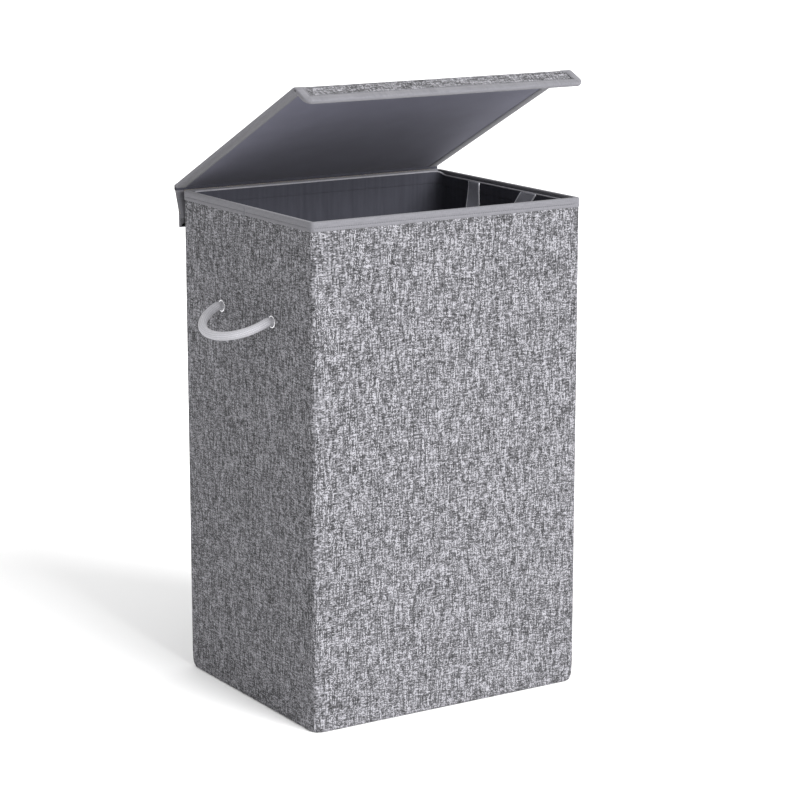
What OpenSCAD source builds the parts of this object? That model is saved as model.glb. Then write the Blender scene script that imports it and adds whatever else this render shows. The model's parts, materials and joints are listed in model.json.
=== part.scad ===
// Laundry hamper with a hinged lid, a bent lip, rope handles and a lift-out liner bag.
// Origin: middle of the base, on the floor. Front is -Y, the lid hinge is at +Y, +Z is up.

/* [Body] */
// Outside width, left to right
body_w = 400; // [320:5:520]
// Outside depth, front to back
body_d = 330; // [260:5:420]
// Height of the rim above the floor
body_h = 650; // [450:10:760]
// Radius of the upright corners
corner_r = 5; // [3:0.5:8]

/* [Walls] */
// Thickness of the woven outer cloth
cloth_t = 1; // [0.8:0.1:1.5]
// Thickness of the stiff board inside a wall
board_t = 3; // [2:0.5:4]
// Thickness of the lining on the inside of a wall
lining_t = 0.5; // [0.4:0.1:1]
// Thickness of the binding tape
tape_t = 0.6; // [0.4:0.1:1]
// How far the binding tape comes down the outside of the rim
rim_out = 12.5; // [8:0.5:18]
// How far the binding tape comes down the inside of the rim
rim_in = 5; // [4:0.5:14]

/* [Lid] */
// Overhang of the lid past each side wall
lid_over = 5; // [3:0.5:8]
// Distance of the lid's hinge line behind the back wall
hinge_back = 15; // [12:1:20]
// Angle at which the lid is stored open
lid_open = 26.3; // [10:0.1:60]
// Length of the lip in front of its fold
lip_len = 31.5; // [24:0.5:45]
// Angle by which the stored lip is bent down from the lid
lip_bend = 51; // [20:1:80]
// Width of the binding tape round the lid, lip and flap
tape_w = 12; // [8:0.5:18]
// Radius of the two free corners of the lip
lip_round = 10; // [4:0.5:12]

/* [Back flap] */
// Height of the flap below the lid's hinge line
flap_h = 55; // [45:1:80]
// Height of the hook and loop strips that hold the flap
strip_h = 18; // [12:1:25]
// Thickness of each of those strips
strip_t = 0.9; // [0.6:0.1:1.5]

/* [Handles] */
// Diameter of the rope
rope_d = 11.2; // [8:0.2:13]
// Distance between the two holes of a handle
hole_gap = 130; // [110:5:150]
// Depth of the holes below the rim
hole_drop = 138; // [90:2:180]
// Reach of the rope loop from its swing axis
rope_reach = 49; // [40:1:60]
// Angle by which the stored loop droops
rope_droop = 26; // [0:1:40]

/* [Base and liner] */
// Thickness of the floor cloth
floor_t = 1; // [0.8:0.1:1.5]
// Thickness of the lift-out base board
base_t = 3; // [2:0.5:5]
// Room between the walls and the liner bag
liner_gap = 1.2; // [1:0.1:3]
// Thickness of the liner bag cloth
liner_t = 0.8; // [0.6:0.1:1.5]
// Width of the webbing handles of the liner
web_w = 25; // [20:1:30]
// Depth of the webbing loops below their stitching
web_drop = 95; // [80:5:130]

/* [Hidden] */
$fn = 48;

gap = 0.3;                               // clearance between pieces that move
fold_gap = 1.2;                          // from a corner fold line to each inner wall face
wall_t = cloth_t + board_t + lining_t;
panel_end = body_d / 2 - wall_t - fold_gap;   // side panels stop here, at the corner fold
wall_top = body_h - tape_t;              // the tape covers the top of each wall
board_foot = 2;                          // the boards stand this far above the floor
board_in = 3;                            // and stop this far short of a panel's ends
board_round = 14;                        // radius of their lower corners
past = 1;                                // a cutting solid runs this far past what it cuts

hole_y = hole_gap / 2;
hole_z = body_h - hole_drop;
rope_r = rope_d / 2;
eyelet_bore = rope_r + gap;
barrel_t = 0.5;
eyelet_r = eyelet_bore + barrel_t;
flange_w = 1.8;
flange_r = eyelet_r + flange_w;
flange_t = 0.8;
hole_play = 0.1;                         // between an eyelet's barrel and the wall round it
rope_axis = body_w / 2 + flange_t + gap + rope_r + gap;
knot_w = 3.4;                            // the knot is this much wider than the rope, all round
knot_r = rope_r + knot_w;
knot_t = 7.6;
knot_play = 1.5;                         // between a knot and the liner bag round it
tail_in = 0.5;                           // the rope's tail stops this far inside its knot
knot_x = body_w / 2 - wall_t - flange_t;      // the knot pulls up against the inner washer

skin_t = 0.5;                            // nonwoven cover of the base board
base_z = floor_t;
base_top = base_z + base_t + 2 * skin_t;
base_gap = 1.5;
liner_x = body_w / 2 - wall_t - liner_gap;
liner_y = body_d / 2 - wall_t - liner_gap;
liner_z = base_top + 1;
liner_top = body_h - rim_in - 1;
hem_h = 16;
web_t = 1.4;
web_y = 70;
web_in = 2;                              // the webbing starts this far below the bag's top
ribbon_t = 0.8;

lid_x = body_w / 2 + lid_over;
hinge_y = body_d / 2 + hinge_back;
stack_t = wall_t + 2 * tape_t;           // lid thickness over its binding
lid_rest = 0.5;                          // the closed lid lies this far above the rim
hinge_z = body_h + lid_rest + stack_t + gap;
lid_start = 1.5;                         // its boards start this far in front of the hinge line
fold_seam = 0.4;                         // and stop this far from the fold line of the lip
lip_play = 0.6;                          // from the front wall to the closed lip
lid_len = hinge_y + body_d / 2 + tape_t + lip_play;   // hinge line to lip fold line
flap_core = 2.2;                         // flap without its binding
flap_tape_in = 0.4;                      // its binding is pressed thin on the inner face
flap_top = hinge_z - stack_t - 2.5;      // the flap starts a little below the closed lid
flap_low = hinge_z - flap_h;
flap_bend = 5;                           // height over which it turns down into its strip
flap_foot = body_d / 2 + 2 * strip_t + flap_core + tape_t;
flap_line = [
    [hinge_y - gap - tape_t, flap_top],
    [flap_foot + 1, flap_low + strip_h + flap_bend],
    [flap_foot, flap_low + strip_h],
    [flap_foot, flap_low]
];

// ---- shared shapes ----

// a slab standing on edge in a side panel, between distances a and b in from the outer face
module side_slab(a, b, y0, y1, z0, z1) {
    translate([-body_w / 2 + a, y0, z0])
        cube([b - a, y1 - y0, z1 - z0]);
}

// the two holes' own positions: one panel has one hole
module at_hole(y) {
    translate([-body_w / 2, y, hole_z])
        rotate([0, 90, 0])
            children();
}

module hole_cut(y) {
    at_hole(y)
        translate([0, 0, -past])
            cylinder(h = wall_t + 2 * past, r = eyelet_r + hole_play);
}

// plan of a band that follows an end wall and turns its two corners, t thick, grown by g
module end_band(t, g) {
    r = corner_r + g;
    translate([-body_w / 2 + corner_r, -body_d / 2 - g])
        square([body_w - 2 * corner_r, t]);
    for (s = [-1, 1])
        translate([s * (body_w / 2 - corner_r), -body_d / 2 + corner_r])
            intersection() {
                difference() {
                    circle(r = r);
                    circle(r = r - t);
                }
                translate([s > 0 ? 0 : -2 * r, -2 * r])
                    square(2 * r);
            }
}

// plan of the whole rim top of an end wall, its corners filled
module end_top() {
    r = corner_r + tape_t;
    translate([-body_w / 2 + corner_r, -body_d / 2 - tape_t])
        square([body_w - 2 * corner_r, wall_t + 2 * tape_t]);
    for (s = [-1, 1])
        translate([s * (body_w / 2 - corner_r), -body_d / 2 + corner_r])
            intersection() {
                circle(r = r);
                translate([s > 0 ? 0 : -2 * r, -2 * r])
                    square(2 * r);
            }
}

module end_board() {
    x = body_w / 2 - corner_r;
    translate([0, -body_d / 2 + cloth_t + board_t, 0])
        rotate([90, 0, 0])
            linear_extrude(board_t) {
                translate([-x, board_foot + board_round])
                    square([2 * x, wall_top - board_foot - board_round]);
                translate([-x + board_round, board_foot])
                    square([2 * (x - board_round), wall_top - board_foot]);
                for (s = [-1, 1])
                    translate([s * (x - board_round), board_foot + board_round])
                        circle(r = board_round);
            }
}

module end_cloth() {
    linear_extrude(wall_top)
        end_band(cloth_t, 0);
}

module end_lining() {
    x = body_w / 2 - wall_t;
    translate([-x, -body_d / 2 + cloth_t + board_t, board_foot])
        cube([2 * x, lining_t, wall_top - board_foot]);
}

module end_binding() {
    inner_x = body_w / 2 - wall_t;
    translate([0, 0, body_h - rim_out])
        linear_extrude(rim_out - tape_t)
            end_band(tape_t, tape_t);
    translate([0, 0, wall_top])
        linear_extrude(tape_t)
            end_top();
    translate([-inner_x, -body_d / 2 + wall_t, body_h - rim_in])
        cube([2 * inner_x, tape_t, rim_in - tape_t]);
}

// board of a side panel from the crease to the corner: side is 1 for the rear panel, -1 for the front
module side_board(side) {
    near = gap / 2;
    far = panel_end - board_in;
    bend_z = board_foot + board_round;
    difference() {
        translate([-body_w / 2 + cloth_t, 0, 0])
            rotate([90, 0, 90])
                linear_extrude(board_t)
                    scale([side, 1]) {
                        translate([near, bend_z])
                            square([far - near, wall_top - bend_z]);
                        translate([near, board_foot])
                            square([far - near - board_round, wall_top - board_foot]);
                        translate([far - board_round, bend_z])
                            circle(r = board_round);
                    }
        hole_cut(side * hole_y);
    }
}

module side_cloth(y0, y1, hole) {
    difference() {
        side_slab(0, cloth_t, y0, y1, 0, wall_top);
        hole_cut(hole);
    }
}

module side_lining(y0, y1, hole) {
    difference() {
        side_slab(cloth_t + board_t, wall_t, y0, y1, board_foot, wall_top);
        hole_cut(hole);
    }
}

module side_binding(y0, y1) {
    side_slab(-tape_t, 0, y0, y1, body_h - rim_out, wall_top);
    side_slab(-tape_t, wall_t + tape_t, y0, y1, wall_top, body_h);
    side_slab(wall_t, wall_t + tape_t, y0, y1, body_h - rim_in, wall_top);
}

// barrel through the wall with a flange outside and a washer inside
module eyelet(y) {
    difference() {
        at_hole(y) {
            cylinder(h = wall_t, r = eyelet_r);
            translate([0, 0, -flange_t])
                cylinder(h = flange_t, r = flange_r);
            translate([0, 0, wall_t])
                cylinder(h = flange_t, r = flange_r);
        }
        at_hole(y)
            translate([0, 0, -flange_t - past])
                cylinder(h = wall_t + 2 * (flange_t + past), r = eyelet_bore);
    }
}

// tail of the rope through its eyelet, with the knot that stops it inside the wall
module knot(y) {
    tube_r = knot_t / 2;
    at_hole(y) {
        translate([0, 0, -flange_t - gap])
            cylinder(h = wall_t + 2 * flange_t + gap + knot_t - tail_in, r = rope_r);
        translate([0, 0, wall_t + flange_t + tube_r])
            rotate_extrude()
                translate([knot_r - tube_r, 0])
                    circle(r = tube_r);
    }
}

// middle line of the rope loop at turn a, in degrees from one hole to the other
function rope_point(a) = [-rope_reach * sin(a), hole_y * cos(a), 0];
function rope_way(a) = let (w = [-rope_reach * cos(a), -hole_y * sin(a), 0]) w / norm(w);

// one ring of the rope: s is how far past its end it lies, in rope radii
function rope_ring(a, s, sides) = let (
    w = rope_way(a),
    p = rope_point(a) + w * s * rope_r,
    r = rope_r * sqrt(1 - s * s),
    out = [w[1], -w[0], 0]
) [for (k = [0:sides - 1]) let (b = 360 * k / sides)
    p + r * (cos(b) * out + sin(b) * [0, 0, 1])];

// loop of rope from hole to hole, round at both ends
module rope() {
    sides = 12;
    rings = 24;
    round_end = [0.92, 0.7, 0.38];
    all_rings = concat(
        [for (s = round_end) rope_ring(0, -s, sides)],
        [for (i = [0:rings]) rope_ring(180 * i / rings, 0, sides)],
        [for (i = [2:-1:0]) rope_ring(180, round_end[i], sides)]
    );
    last_ring = (len(all_rings) - 1) * sides;
    walls = [for (i = [0:len(all_rings) - 2], k = [0:sides - 1]) let (
        a = i * sides + k,
        b = i * sides + (k + 1) % sides
    ) each [[a, b, a + sides], [b, b + sides, a + sides]]];
    first_cap = [for (k = [sides - 1:-1:0]) k];
    last_cap = [for (k = [0:sides - 1]) last_ring + k];
    translate([-rope_axis, 0, hole_z])
        rotate([0, -rope_droop, 0])
            polyhedron([for (ring = all_rings) each ring], concat([first_cap], walls, [last_cap]));
}

module lid_place() {
    translate([0, hinge_y, hinge_z])
        rotate([-lid_open, 0, 0])
            children();
}

// slab of the lid: y runs forward from the hinge as -y, heights count down from the hinge
module lid_slab(x, h0, h1) {
    translate([-x, -lid_len + fold_seam, -gap - h1])
        cube([2 * x, lid_len - lid_start - fold_seam, h1 - h0]);
}

module lip_place() {
    lid_place()
        translate([0, -lid_len, -gap - stack_t])
            rotate([lip_bend, 0, 0])
                children();
}

// slab of the lip, its two free corners rounded to radius r
module lip_slab(x, len, r, h0, h1) {
    translate([0, 0, h0])
        linear_extrude(h1 - h0) {
            translate([-x, -len + r])
                square([2 * x, len - r - fold_seam]);
            translate([-x + r, -len])
                square([2 * (x - r), r]);
            for (s = [-1, 1])
                translate([s * (x - r), -len + r])
                    circle(r = r);
        }
}

// slab of the lip inside its binding
module lip_layer(h0, h1) {
    lip_slab(lid_x - tape_t, lip_len - tape_t, lip_round - tape_t, h0, h1);
}

// layer of the flap between two distances in from its outer face
module flap_layer(x, t0, t1) {
    outer = [for (p = flap_line) [p[0] - t0, p[1]]];
    inner = [for (i = [len(flap_line) - 1:-1:0]) [flap_line[i][0] - t1, flap_line[i][1]]];
    translate([-x, 0, 0])
        rotate([90, 0, 90])
            linear_extrude(2 * x)
                polygon(concat(outer, inner));
}

// ---- walls ----

module back_wall() {
    mirror([0, 1, 0])
        children();
}

module back_board() { color([0.62, 0.52, 0.38]) back_wall() end_board(); }
module back_cloth() { color([0.52, 0.52, 0.54]) back_wall() end_cloth(); }
module back_lining() { color([0.27, 0.27, 0.30]) back_wall() end_lining(); }
module back_binding() { color([0.72, 0.72, 0.74]) back_wall() end_binding(); }

module front_board() { color([0.62, 0.52, 0.38]) end_board(); }
module front_cloth() { color([0.62, 0.62, 0.64]) end_cloth(); }
module front_lining() { color([0.27, 0.27, 0.30]) end_lining(); }
module front_binding() { color([0.72, 0.72, 0.74]) end_binding(); }

module left_rear_board() { color([0.62, 0.52, 0.38]) side_board(1); }
module left_rear_cloth() { color([0.45, 0.45, 0.47]) side_cloth(gap / 2, panel_end, hole_y); }
module left_rear_lining() { color([0.27, 0.27, 0.30]) side_lining(gap / 2, panel_end, hole_y); }
module left_rear_binding() { color([0.60, 0.60, 0.62]) side_binding(gap / 2, panel_end); }

module left_front_board() { color([0.62, 0.52, 0.38]) side_board(-1); }
module left_front_cloth() { color([0.43, 0.43, 0.45]) side_cloth(-panel_end, -gap / 2, -hole_y); }
module left_front_lining() { color([0.27, 0.27, 0.30]) side_lining(-panel_end, -gap / 2, -hole_y); }
module left_front_binding() { color([0.60, 0.60, 0.62]) side_binding(-panel_end, -gap / 2); }

module right_rear_board() { mirror([1, 0, 0]) left_rear_board(); }
module right_rear_cloth() { mirror([1, 0, 0]) left_rear_cloth(); }
module right_rear_lining() { mirror([1, 0, 0]) left_rear_lining(); }
module right_rear_binding() { mirror([1, 0, 0]) left_rear_binding(); }

module right_front_board() { mirror([1, 0, 0]) left_front_board(); }
module right_front_cloth() { mirror([1, 0, 0]) left_front_cloth(); }
module right_front_lining() { mirror([1, 0, 0]) left_front_lining(); }
module right_front_binding() { mirror([1, 0, 0]) left_front_binding(); }

// ---- base ----

module floor_cloth() {
    x = body_w / 2 - wall_t - gap;
    y = body_d / 2 - wall_t - gap;
    color([0.35, 0.35, 0.37])
        translate([-x, -y, 0])
            cube([2 * x, 2 * y, floor_t]);
}

module base_slab(inset, z0, z1) {
    x = body_w / 2 - wall_t - base_gap - inset;
    y = body_d / 2 - wall_t - base_gap - inset;
    translate([-x, -y, z0])
        cube([2 * x, 2 * y, z1 - z0]);
}

module base_board() {
    color([0.62, 0.52, 0.38])
        base_slab(skin_t, base_z + skin_t, base_z + skin_t + base_t);
}

// sleeve open at its rear end, where the board slides in
module base_cover() {
    x = body_w / 2 - wall_t - base_gap - skin_t;
    y = body_d / 2 - wall_t - base_gap - skin_t;
    color([0.25, 0.25, 0.28])
        difference() {
            base_slab(0, base_z, base_top);
            translate([-x, -y, base_z + skin_t])
                cube([2 * x, 2 * y + 2 * base_gap, base_t]);
        }
}

// ribbon that lifts the base board
module base_tab() {
    tab_w = 20;
    tab_len = 45;
    tab_in = 6;
    front = -body_d / 2 + wall_t + base_gap;
    color([0.2, 0.2, 0.22])
        translate([-tab_w / 2, front + tab_in, base_top])
            cube([tab_w, tab_len, ribbon_t]);
}

// ---- lid and lip ----

module lid_cloth() {
    color([0.58, 0.58, 0.60])
        lid_place()
            lid_slab(lid_x - tape_t, tape_t, tape_t + cloth_t);
}

module lid_board() {
    color([0.62, 0.52, 0.38])
        lid_place()
            lid_slab(lid_x - tape_t, tape_t + cloth_t, tape_t + cloth_t + board_t);
}

module lid_lining() {
    color([0.29, 0.29, 0.32])
        lid_place()
            lid_slab(lid_x - tape_t, tape_t + cloth_t + board_t, tape_t + wall_t);
}

// tape folded round the left and right edges of the lid
module lid_binding() {
    x = lid_x - tape_t;
    color([0.66, 0.66, 0.68])
        lid_place()
            difference() {
                lid_slab(lid_x, 0, stack_t);
                translate([-x, -lid_len - past, -gap - tape_t - wall_t])
                    cube([2 * x, lid_len + 2 * past, wall_t]);
                translate([-lid_x + tape_w, -lid_len - past, -gap - stack_t - past])
                    cube([2 * (lid_x - tape_w), lid_len + 2 * past, stack_t + 2 * past]);
            }
}

module lip_cloth() {
    color([0.60, 0.60, 0.62])
        lip_place()
            lip_layer(tape_t + lining_t + board_t, tape_t + wall_t);
}

module lip_board() {
    color([0.62, 0.52, 0.38])
        lip_place()
            lip_layer(tape_t + lining_t, tape_t + lining_t + board_t);
}

module lip_lining() {
    color([0.29, 0.29, 0.32])
        lip_place()
            lip_layer(tape_t, tape_t + lining_t);
}

// tape folded round the two ends and the free edge of the lip
module lip_binding() {
    color([0.74, 0.74, 0.76])
        lip_place()
            difference() {
                lip_slab(lid_x, lip_len, lip_round, 0, stack_t);
                lip_layer(tape_t, tape_t + wall_t);
                translate([-lid_x + tape_w, -lip_len + tape_w, -past])
                    cube([2 * (lid_x - tape_w), lip_len, stack_t + 2 * past]);
            }
}

// ---- flap behind the back wall ----

module flap_cloth() {
    color([0.52, 0.52, 0.54])
        flap_layer(lid_x - tape_t, 0, cloth_t);
}

module flap_board() {
    color([0.62, 0.52, 0.38])
        flap_layer(lid_x - tape_t, cloth_t, flap_core);
}

module flap_binding() {
    color([0.62, 0.62, 0.64])
        difference() {
            union() {
                flap_layer(lid_x, -tape_t, flap_core + flap_tape_in);
                translate([-lid_x, flap_foot - flap_core - flap_tape_in, flap_low - tape_t])
                    cube([2 * lid_x, flap_core + flap_tape_in + tape_t, tape_t]);
            }
            flap_layer(lid_x - tape_t, 0, flap_core);
            translate([-lid_x + tape_w, body_d / 2, flap_low + tape_w])
                cube([2 * (lid_x - tape_w), 2 * hinge_back, flap_h]);
        }
}

module strip(t0, t1) {
    strip_in = 3;
    margin = 1;
    x = lid_x - tape_w - strip_in;
    translate([-x, body_d / 2 + t0, flap_low + margin])
        cube([2 * x, t1 - t0, strip_h - 2 * margin]);
}

module hook_strip() { color([0.2, 0.2, 0.22]) strip(strip_t, 2 * strip_t); }
module loop_strip() { color([0.3, 0.3, 0.32]) strip(0, strip_t); }

// ---- handles ----

module left_rope() { color([0.78, 0.78, 0.80]) rope(); }
module right_rope() { mirror([1, 0, 0]) left_rope(); }

module left_rear_eyelet() { color([0.8, 0.8, 0.8]) eyelet(hole_y); }
module left_front_eyelet() { color([0.8, 0.8, 0.8]) eyelet(-hole_y); }
module right_rear_eyelet() { mirror([1, 0, 0]) left_rear_eyelet(); }
module right_front_eyelet() { mirror([1, 0, 0]) left_front_eyelet(); }

module left_rear_knot() { color([0.78, 0.78, 0.80]) knot(hole_y); }
module left_front_knot() { color([0.78, 0.78, 0.80]) knot(-hole_y); }
module right_rear_knot() { mirror([1, 0, 0]) left_rear_knot(); }
module right_front_knot() { mirror([1, 0, 0]) left_front_knot(); }

// ---- liner bag ----

module liner_box(inset, z0, z1) {
    x = liner_x - inset;
    y = liner_y - inset;
    translate([-x, -y, z0])
        cube([2 * x, 2 * y, z1 - z0]);
}

// round hollow in the liner's side where it passes a knot, grown by g
module knot_room(g) {
    reach = knot_t + knot_play - (liner_x - knot_x);
    for (sx = [-1, 1], sy = [-1, 1])
        translate([sx * (liner_x + past), sy * hole_y, hole_z])
            rotate([0, -90 * sx, 0])
                cylinder(h = past + reach + g, r = knot_r + knot_play + g);
}

module liner_bag() {
    color([0.13, 0.13, 0.15])
        difference() {
            union() {
                difference() {
                    liner_box(0, liner_z, liner_top);
                    liner_box(liner_t, liner_z + liner_t, liner_top + past);
                }
                intersection() {
                    knot_room(liner_t);
                    liner_box(0, liner_z, liner_top);
                }
            }
            knot_room(0);
        }
}

module liner_hem() {
    color([0.16, 0.16, 0.18])
        difference() {
            liner_box(liner_t, liner_top - hem_h, liner_top);
            liner_box(2 * liner_t, liner_top - hem_h - past, liner_top + past);
        }
}

// webbing loop hanging flat against the liner's side
module liner_left_handle() {
    r = web_y + web_w / 2;
    face = liner_x - 2 * liner_t;
    end_z = liner_top - web_in;
    turn_z = liner_top - web_drop + r;
    color([0.24, 0.24, 0.27])
        translate([-face, 0, 0])
            rotate([90, 0, 90])
                linear_extrude(web_t)
                    difference() {
                        union() {
                            translate([0, turn_z])
                                circle(r = r);
                            translate([-r, turn_z])
                                square([2 * r, end_z - turn_z]);
                        }
                        translate([0, turn_z])
                            circle(r = r - web_w);
                        translate([-r + web_w, turn_z])
                            square([2 * (r - web_w), web_drop]);
                        translate([-r - past, end_z])
                            square([2 * (r + past), 2 * r]);
                    }
}

module liner_right_handle() { mirror([1, 0, 0]) liner_left_handle(); }

// hook and loop tabs that hold the bag's top edge to the back and front walls
module liner_tabs() {
    tab_w = 40;
    tab_h = 15;
    tab_t = liner_gap - gap;
    color([0.2, 0.2, 0.22])
        for (sx = [-1, 1], sy = [-1, 1])
            translate([sx * body_w / 4, sy * (liner_y + tab_t / 2), liner_top - tab_h / 2])
                cube([tab_w, tab_t, tab_h], center = true);
}

back_board();
back_cloth();
back_lining();
back_binding();
front_board();
front_cloth();
front_lining();
front_binding();
left_rear_board();
left_rear_cloth();
left_rear_lining();
left_rear_binding();
left_front_board();
left_front_cloth();
left_front_lining();
left_front_binding();
right_rear_board();
right_rear_cloth();
right_rear_lining();
right_rear_binding();
right_front_board();
right_front_cloth();
right_front_lining();
right_front_binding();
floor_cloth();
base_board();
base_cover();
base_tab();
lid_board();
lid_cloth();
lid_lining();
lid_binding();
lip_board();
lip_cloth();
lip_lining();
lip_binding();
flap_board();
flap_cloth();
flap_binding();
hook_strip();
loop_strip();
left_rope();
right_rope();
left_rear_eyelet();
left_front_eyelet();
right_rear_eyelet();
right_front_eyelet();
left_rear_knot();
left_front_knot();
right_rear_knot();
right_front_knot();
liner_bag();
liner_hem();
liner_left_handle();
liner_right_handle();
liner_tabs();
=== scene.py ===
import json
import math

import bmesh
import bpy
from mathutils import Matrix, Vector, noise
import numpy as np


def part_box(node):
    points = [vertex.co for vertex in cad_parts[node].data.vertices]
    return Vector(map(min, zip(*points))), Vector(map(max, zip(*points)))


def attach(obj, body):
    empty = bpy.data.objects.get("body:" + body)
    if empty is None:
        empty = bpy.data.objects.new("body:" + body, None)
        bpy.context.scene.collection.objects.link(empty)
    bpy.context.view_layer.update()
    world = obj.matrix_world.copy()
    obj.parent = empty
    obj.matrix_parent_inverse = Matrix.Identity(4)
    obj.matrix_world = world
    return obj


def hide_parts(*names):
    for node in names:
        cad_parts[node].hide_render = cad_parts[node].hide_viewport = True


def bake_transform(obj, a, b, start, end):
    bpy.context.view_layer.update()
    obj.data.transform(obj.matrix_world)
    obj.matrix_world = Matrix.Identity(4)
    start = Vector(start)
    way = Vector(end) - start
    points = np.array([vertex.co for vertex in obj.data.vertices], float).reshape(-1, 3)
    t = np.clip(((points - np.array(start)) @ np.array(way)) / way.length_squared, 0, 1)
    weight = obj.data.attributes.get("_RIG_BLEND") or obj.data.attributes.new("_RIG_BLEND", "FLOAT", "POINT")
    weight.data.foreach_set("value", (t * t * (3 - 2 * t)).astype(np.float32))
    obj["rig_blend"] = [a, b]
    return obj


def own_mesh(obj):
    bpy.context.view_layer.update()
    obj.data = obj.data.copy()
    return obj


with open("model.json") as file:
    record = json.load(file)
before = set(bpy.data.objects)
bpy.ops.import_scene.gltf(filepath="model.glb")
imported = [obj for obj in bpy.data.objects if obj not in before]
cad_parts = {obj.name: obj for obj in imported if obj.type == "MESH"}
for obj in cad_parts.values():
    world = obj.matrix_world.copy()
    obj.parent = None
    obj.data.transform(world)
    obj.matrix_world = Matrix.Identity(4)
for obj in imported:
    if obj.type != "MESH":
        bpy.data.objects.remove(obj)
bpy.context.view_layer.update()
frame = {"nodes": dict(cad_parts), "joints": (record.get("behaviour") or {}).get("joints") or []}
scene = bpy.context.scene
joints = {j["name"]: j for j in frame["joints"]}
print("frame loaded:", len(frame["nodes"]), "nodes")

clothLow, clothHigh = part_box("front_cloth")
rimLow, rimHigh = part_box("front_binding")
halfWide = clothHigh.x
halfDeep = -clothLow.y
rimTop = rimHigh.z
tapeThick = rimHigh.z - clothHigh.z
tapeDrop = rimHigh.z - rimLow.z
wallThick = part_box("front_lining")[1].y + halfDeep
cornerRadius = clothHigh.y - clothLow.y
hingePoint = Vector(joints["lid_hinge"]["pos_m"])
lidOpen = math.radians(-joints["lid_hinge"]["range_deg"][0])
lipPoint = Vector(joints["lip_fold"]["pos_m"])
lipBend = math.radians(-joints["lip_fold"]["range_deg"][0])
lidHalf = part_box("lid_binding")[1].x
lidStack = wallThick + 2 * tapeThick

cameraView = {
    "azimuth": -32.4,
    "elevation": 12.54,
    "distance": 3.6,
    "target": (0.0765, 0.0723, 0.3535),
    "lens": 119.43,
}


# places a camera or light out from the target and turns it back to look there
def aim(data, azimuth, elevation, distance, target=(0, 0, 0)):
    a = math.radians(azimuth)
    e = math.radians(elevation)
    back = Vector((math.sin(a) * math.cos(e), -math.cos(a) * math.cos(e), math.sin(e)))
    made = bpy.data.objects.new(data.name, data)
    made.location = Vector(target) + back * distance
    made.rotation_mode = "QUATERNION"
    made.rotation_quaternion = (-back).to_track_quat("-Z", "Y")
    scene.collection.objects.link(made)
    return made


def makeCamera(v):
    data = bpy.data.cameras.new("camera")
    data.lens = v["lens"]
    data.clip_start = 0.1
    data.clip_end = 50
    scene.camera = aim(data, v["azimuth"], v["elevation"], v["distance"], v["target"])


makeCamera(cameraView)


# short names for building one material's nodes
class Shader:
    def __init__(self, name, roughness=0.9, sheen=0.0, metallic=0.0):
        self.material = bpy.data.materials.new(name)
        self.material.use_nodes = True
        self.tree = self.material.node_tree
        self.surface = self.tree.nodes["Principled BSDF"]
        self.surface.inputs["Roughness"].default_value = roughness
        self.surface.inputs["Metallic"].default_value = metallic
        self.surface.inputs["Sheen Weight"].default_value = sheen
        self.surface.inputs["Specular IOR Level"].default_value = 0.25

    def put(self, socket, value):
        if isinstance(value, bpy.types.NodeSocket):
            self.tree.links.new(value, socket)
        elif value is not None:
            socket.default_value = value

    # makes a node, fills its first inputs and gives one output
    def node(self, kind, *values, output=0, **settings):
        node = self.tree.nodes.new("ShaderNode" + kind)
        for name, setting in settings.items():
            setattr(node, name, setting)
        for socket, value in zip(node.inputs, values):
            self.put(socket, value)
        return node.outputs[output]

    def math(self, operation, *values):
        return self.node("Math", *values, operation=operation)

    def plus(self, a, b):
        return self.math("ADD", a, b)

    def minus(self, a, b):
        return self.math("SUBTRACT", a, b)

    def times(self, a, b):
        return self.math("MULTIPLY", a, b)

    def sine(self, a):
        return self.math("SINE", a)

    def axes(self, vector):
        node = self.tree.nodes.new("ShaderNodeSeparateXYZ")
        self.put(node.inputs[0], vector)
        return node.outputs

    def join(self, x, y, z=0.0):
        return self.node("CombineXYZ", x, y, z)

    def uv(self):
        return self.node("UVMap")

    def place(self):
        return self.node("TexCoord", output="Object")

    def noise(self, vector, scale, detail=2.0):
        return self.node("TexNoise", vector, None, scale, detail, output="Fac")

    def speck(self, vector):
        return self.node("TexWhiteNoise", vector, output="Value", noise_dimensions="3D")

    def ramp(self, value, *stops):
        node = self.tree.nodes.new("ShaderNodeValToRGB")
        elements = node.color_ramp.elements
        while len(elements) < len(stops):
            elements.new(0.5)
        for element, (position, color) in zip(elements, stops):
            element.position = position
            element.color = (*color, 1)
        self.put(node.inputs[0], value)
        return node.outputs["Color"]

    def mix(self, factor, a, b):
        return self.node("Mix", factor, None, a, b, data_type="FLOAT")

    def color(self, value):
        self.put(self.surface.inputs["Base Color"], value)

    def bump(self, height, distance, strength=1.0):
        node = self.tree.nodes.new("ShaderNodeBump")
        self.put(node.inputs["Height"], height)
        node.inputs["Distance"].default_value = distance
        node.inputs["Strength"].default_value = strength
        self.tree.links.new(node.outputs[0], self.surface.inputs["Normal"])


def grey(value, blue=1.06):
    return (value, value * 0.99, value * blue)


heather = {
    "warpPitch": 0.00140,
    "weftPitch": 0.00128,
    "warpRun": 0.075,      # how fast an upright yarn changes tone, per thread crossed
    "weftRun": 0.14,
    "apart": 5.37,         # keeps neighbouring yarns apart in the noise
    "warpVary": 1.15,
    "weftVary": 0.92,
    "under": 0.6,          # how much of the yarn underneath shows
    "cellVary": 0.62,
    "tones": ((0.1, 0.016), (0.5, 0.085), (0.9, 0.275)),
    "blue": 1.07,
}


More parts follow.
